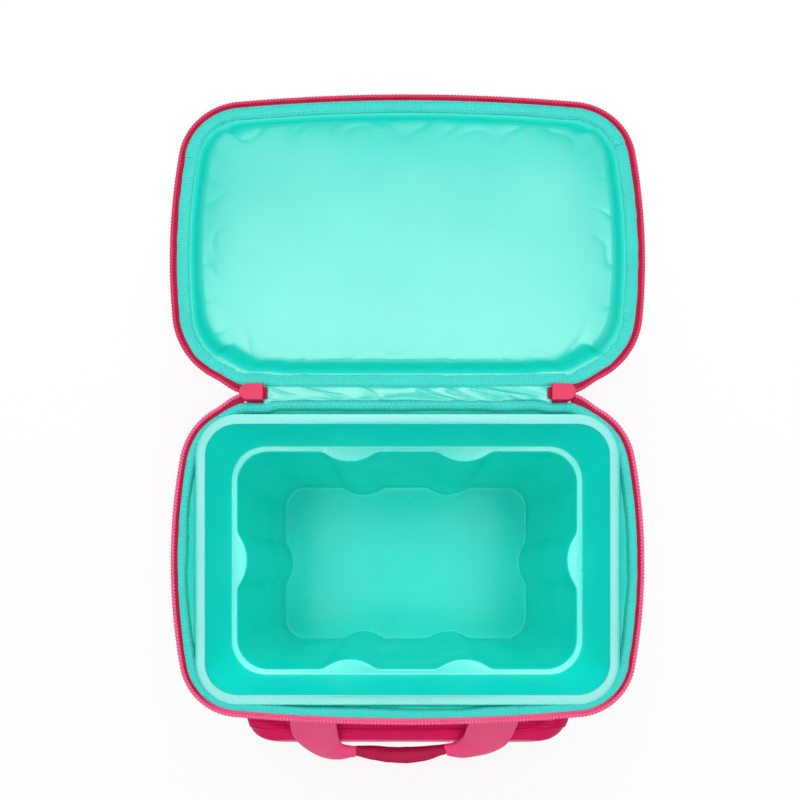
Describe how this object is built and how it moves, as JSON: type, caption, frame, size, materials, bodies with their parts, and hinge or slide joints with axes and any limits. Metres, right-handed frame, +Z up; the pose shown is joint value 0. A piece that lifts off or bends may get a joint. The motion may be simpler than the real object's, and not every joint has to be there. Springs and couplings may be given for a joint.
{
  "type": "vaccine carrier",
  "caption": "Soft-sided insulated carrier with a thrown-back zip lid, a lift-out moulded liner tub with half-round ribs, a front pocket and two webbing handles.",
  "frame": {"origin": "centre of the flat base panel's underside, where the bag stands", "axes": "+Z up, -Y towards the front pocket, +Y towards the hinge and the lid as it lies thrown back"},
  "size_m": [0.318, 0.4774, 0.2231],
  "materials": {
    "outer_cloth": "coated polyester, plain weave",
    "pocket_cloth": "coated polyester, plain weave",
    "piping": "piping cord in cloth",
    "insulating_foam": "closed-cell polyethylene foam",
    "board": "polypropylene board",
    "lining_film": "heat-sealed PEVA film, glossy",
    "binding_tape": "polypropylene grosgrain, stitched",
    "zip_tape": "woven polyester tape",
    "zip_coil": "nylon monofilament coil",
    "slider_enamel": "enamelled zinc casting",
    "liner_plastic": "moulded low-density polyethylene",
    "webbing": "polyester twill webbing",
    "grip_wrap": "folded webbing wrap, stitched"
  },
  "bodies": {
    "carrier": {"body_base_panel": "outer_cloth", "base_board": "board", "body_outer_wall": "outer_cloth", "body_foam": "insulating_foam", "body_lining": "lining_film", "body_binding": "binding_tape", "body_hinge_hem": "binding_tape", "body_zip_tape": "zip_tape", "body_zip_coil": "zip_coil", "pocket_front_panel": "pocket_cloth", "pocket_gusset": "outer_cloth", "pocket_welt": "piping", "pocket_zip_tape": "zip_tape", "pocket_zip_coil": "zip_coil", "front_handle_anchor_left": "webbing", "front_handle_anchor_right": "webbing", "rear_handle_anchor_left": "webbing", "rear_handle_anchor_right": "webbing"},
    "lid": {"lid_cover": "outer_cloth", "lid_foam": "insulating_foam", "lid_binding": "binding_tape", "lid_hinge_hem": "binding_tape", "lid_lining_pad": "lining_film", "lid_zip_tape": "zip_tape", "lid_zip_coil": "zip_coil"},
    "hinge_strip": {"hinge_strip_lining": "lining_film", "hinge_strip_outer": "outer_cloth", "zip_end_tab_left": "outer_cloth", "zip_end_tab_right": "outer_cloth"},
    "slider_left": {"zip_slider_left": "slider_enamel"},
    "slider_right": {"zip_slider_right": "slider_enamel"},
    "pull_left": {"zip_pull_left": "slider_enamel"},
    "pull_right": {"zip_pull_right": "slider_enamel"},
    "liner": {"liner_tub": "liner_plastic"},
    "front_handle": {"front_handle_webbing": "webbing", "front_handle_grip": "grip_wrap"},
    "rear_handle": {"rear_handle_webbing": "webbing", "rear_handle_grip": "grip_wrap"},
    "pocket_slider_body": {"pocket_slider": "slider_enamel"},
    "pocket_pull_body": {"pocket_pull": "slider_enamel"}
  },
  "joints": [
    {"name": "lid_hinge", "type": "hinge", "parent": "carrier", "child": "lid", "pos_m": [0, 0.1113, 0.22], "axis": [1, 0, 0], "range_deg": [0, 185.5]},
    {"name": "strip_fold", "type": "hinge", "parent": "carrier", "child": "hinge_strip", "pos_m": [0, 0.1113, 0.22], "axis": [1, 0, 0], "range_deg": [0, 92.75]},
    {"name": "zip_travel_left", "type": "slide", "parent": "hinge_strip", "child": "slider_left", "axis": [-1, 0, 0], "range_m": [0, 0.028]},
    {"name": "zip_travel_right", "type": "slide", "parent": "hinge_strip", "child": "slider_right", "axis": [1, 0, 0], "range_m": [0, 0.028]},
    {"name": "pull_swing_left", "type": "hinge", "parent": "slider_left", "child": "pull_left", "pos_m": [-0.102, 0.1111, 0.2159], "axis": [0, 0.9988, -0.048], "range_deg": [-80, 80]},
    {"name": "pull_swing_right", "type": "hinge", "parent": "slider_right", "child": "pull_right", "pos_m": [0.102, 0.1111, 0.2159], "axis": [0, -0.9988, 0.048], "range_deg": [-80, 80]},
    {"name": "tub_lift", "type": "slide", "parent": "carrier", "child": "liner", "axis": [0, 0, -1], "range_m": [-0.24, 0]},
    {"name": "front_handle_swing", "type": "hinge", "parent": "carrier", "child": "front_handle", "pos_m": [0, -0.1078, 0.192], "axis": [-1, 0, 0], "range_deg": [0, 110]},
    {"name": "rear_handle_swing", "type": "hinge", "parent": "carrier", "child": "rear_handle", "pos_m": [0, 0.1078, 0.192], "axis": [1, 0, 0], "range_deg": [0, 45]},
    {"name": "pocket_zip_travel", "type": "slide", "parent": "carrier", "child": "pocket_slider_body", "axis": [-1, 0, 0], "range_m": [0, 0.18]},
    {"name": "pocket_pull_swing", "type": "hinge", "parent": "pocket_slider_body", "child": "pocket_pull_body", "pos_m": [0.09, -0.113, 0.1651], "axis": [0, -1, 0], "range_deg": [0, 90]}
  ],
  "couplings": [
    {"joint": "strip_fold", "follows": "lid_hinge", "ratio": 0.5}
  ]
}
